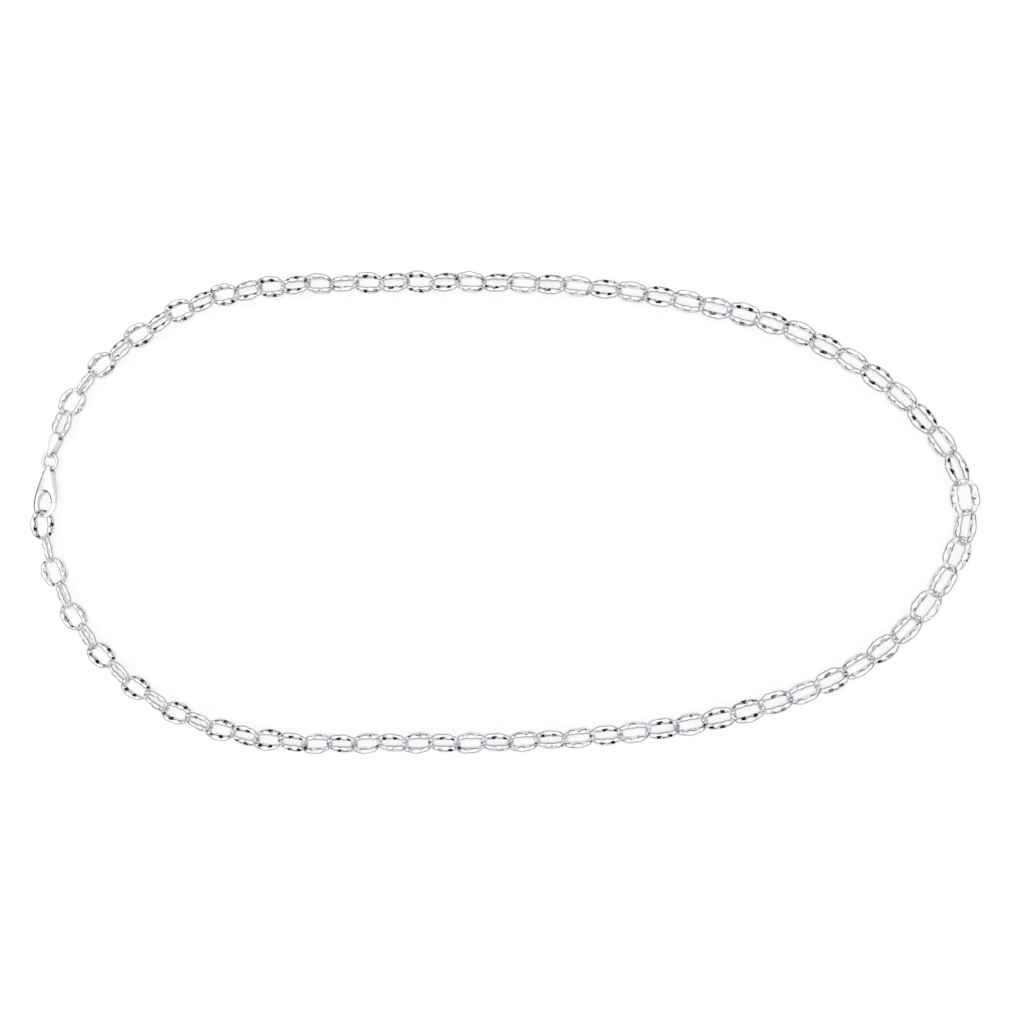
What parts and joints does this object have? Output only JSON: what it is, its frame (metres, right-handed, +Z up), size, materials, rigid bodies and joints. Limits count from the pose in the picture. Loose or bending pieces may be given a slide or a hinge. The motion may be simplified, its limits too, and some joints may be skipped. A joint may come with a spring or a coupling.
{
  "type": "anchor chain necklace",
  "caption": "Anchor chain necklace of oval diamond-cut silver links, lying closed in a loop, with an end tab, a jump ring and a lobster clasp with a sprung lever.",
  "frame": {"origin": "under the middle of the necklace's box, on the surface it lies on", "axes": "+X to the end of the loop opposite the clasp, +Y to the run with the end tab, +Z up"},
  "size_m": [0.1862, 0.0954, 0.0045],
  "materials": {
    "link_silver": "diamond-cut polished 925 silver",
    "fitting_silver": "polished 925 silver"
  },
  "bodies": {
    "necklace": {"upper_chain": "link_silver", "lower_chain": "link_silver", "end_tab": "fitting_silver", "jump_ring": "fitting_silver", "clasp_body": "fitting_silver", "clasp_rivet": "fitting_silver"},
    "clasp_lever": {"clasp_lever": "fitting_silver"}
  },
  "joints": [
    {"name": "clasp_lever_hinge", "type": "hinge", "parent": "necklace", "child": "clasp_lever", "pos_m": [-0.08888, 0.00512, 0.0016], "axis": [-0.005, -0.0835, -0.9965], "range_deg": [0, 20], "stiffness_Nm_per_rad": 0.002, "springref_deg": -5.73}
  ]
}
